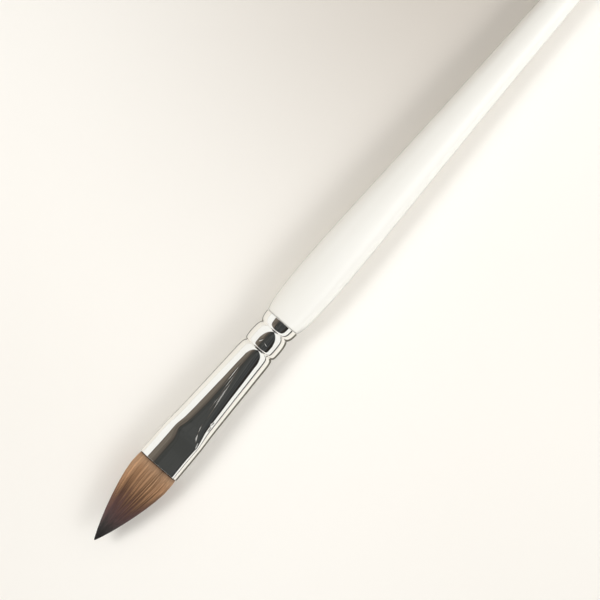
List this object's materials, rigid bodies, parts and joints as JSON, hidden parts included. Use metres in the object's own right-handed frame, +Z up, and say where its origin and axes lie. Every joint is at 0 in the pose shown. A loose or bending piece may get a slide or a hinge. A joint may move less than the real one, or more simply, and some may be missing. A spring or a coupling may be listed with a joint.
{
  "type": "detail brush",
  "caption": "Fine detail brush: a gloss lacquered wooden handle with a swollen grip, a plated ferrule pressed flat at the mouth, and a pointed petal of natural hair.",
  "frame": {"origin": "on the surface that the brush lies on, under the middle of its length", "axes": "+X along the brush towards the butt of the handle, +Z up, out of the ferrule's upper flat"},
  "size_m": [0.1808, 0.0092, 0.0093],
  "materials": {
    "white_lacquer": "gloss white lacquer over turned wood",
    "plated_brass": "bright plating over drawn brass, polished",
    "brown_hair": "reddish brown natural hair, dark at the point",
    "set_resin": "clear amber resin",
    "linen_thread": "waxed linen thread",
    "handle_glue": "set glue"
  },
  "bodies": {
    "root": {"handle": "white_lacquer", "ferrule": "plated_brass", "outer_hairs": "brown_hair", "middle_hairs": "brown_hair", "core_hairs": "brown_hair", "root_plug": "set_resin", "binding_thread": "linen_thread", "handle_cement": "handle_glue"}
  },
  "joints": []
}
